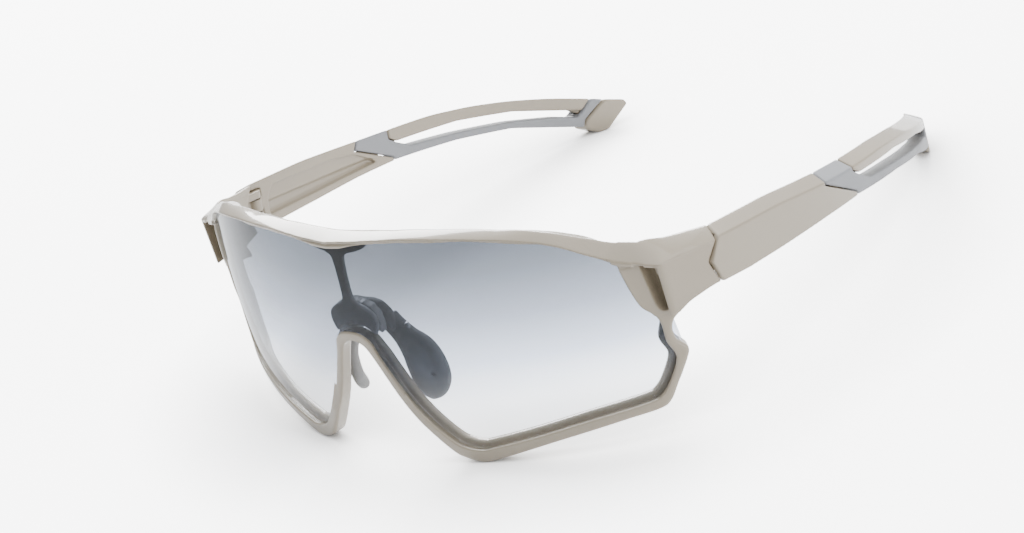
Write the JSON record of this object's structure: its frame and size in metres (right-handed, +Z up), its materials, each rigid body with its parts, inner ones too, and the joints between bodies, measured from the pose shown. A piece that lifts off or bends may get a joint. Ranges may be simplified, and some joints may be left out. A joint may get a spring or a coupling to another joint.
{
  "type": "wraparound sport sunglasses",
  "caption": "Wraparound shield sunglasses with a full sand-coloured rim, a gradient grey lens, silicone nose pads and folding temples with rubber grips.",
  "frame": {"origin": "middle of the outline on the table, under the open sunglasses", "axes": "-Y is the front, +X the wearer's left, +Z up; the temples run back along +Y"},
  "size_m": [0.149, 0.1562, 0.0558],
  "materials": {
    "sand_plastic": "glossy moulded plastic with a satin sheen",
    "lens_tint": "polished, blue-grey at the top fading to clear",
    "grey_rubber": "soft-touch matte",
    "dark_plastic": "satin",
    "ribbed_plastic": "satin with fine ribs",
    "grey_silicone": "matte silicone",
    "steel": "bright",
    "brass": "turned"
  },
  "bodies": {
    "front": {"front_frame": "sand_plastic", "shield_lens": "lens_tint", "nose_bracket": "dark_plastic", "bridge_block": "ribbed_plastic", "nose_saddle": "grey_silicone", "left_hinge_screw": "steel", "right_hinge_screw": "steel", "left_hinge_insert": "brass", "right_hinge_insert": "brass"},
    "left_temple": {"left_temple_core": "sand_plastic", "left_temple_grip": "grey_rubber"},
    "right_temple": {"right_temple_core": "sand_plastic", "right_temple_grip": "grey_rubber"},
    "left_pad": {"left_nose_pad": "grey_silicone", "left_pad_wire": "steel"},
    "right_pad": {"right_nose_pad": "grey_silicone", "right_pad_wire": "steel"}
  },
  "joints": [
    {"name": "left_temple_fold", "type": "hinge", "parent": "front", "child": "left_temple", "pos_m": [0.0702, -0.03355, 0.0346], "axis": [0, 0.1908, 0.9816], "range_deg": [0, 88]},
    {"name": "right_temple_fold", "type": "hinge", "parent": "front", "child": "right_temple", "pos_m": [-0.0702, -0.03355, 0.0346], "axis": [0, -0.1908, -0.9816], "range_deg": [0, 72]},
    {"name": "left_pad_bend", "type": "hinge", "parent": "front", "child": "left_pad", "pos_m": [0.0092, -0.06895, 0.0314], "axis": [0, 1, 0], "range_deg": [-10, 10]},
    {"name": "right_pad_bend", "type": "hinge", "parent": "front", "child": "right_pad", "pos_m": [-0.0092, -0.06895, 0.0314], "axis": [0, -1, 0], "range_deg": [-10, 10]}
  ]
}
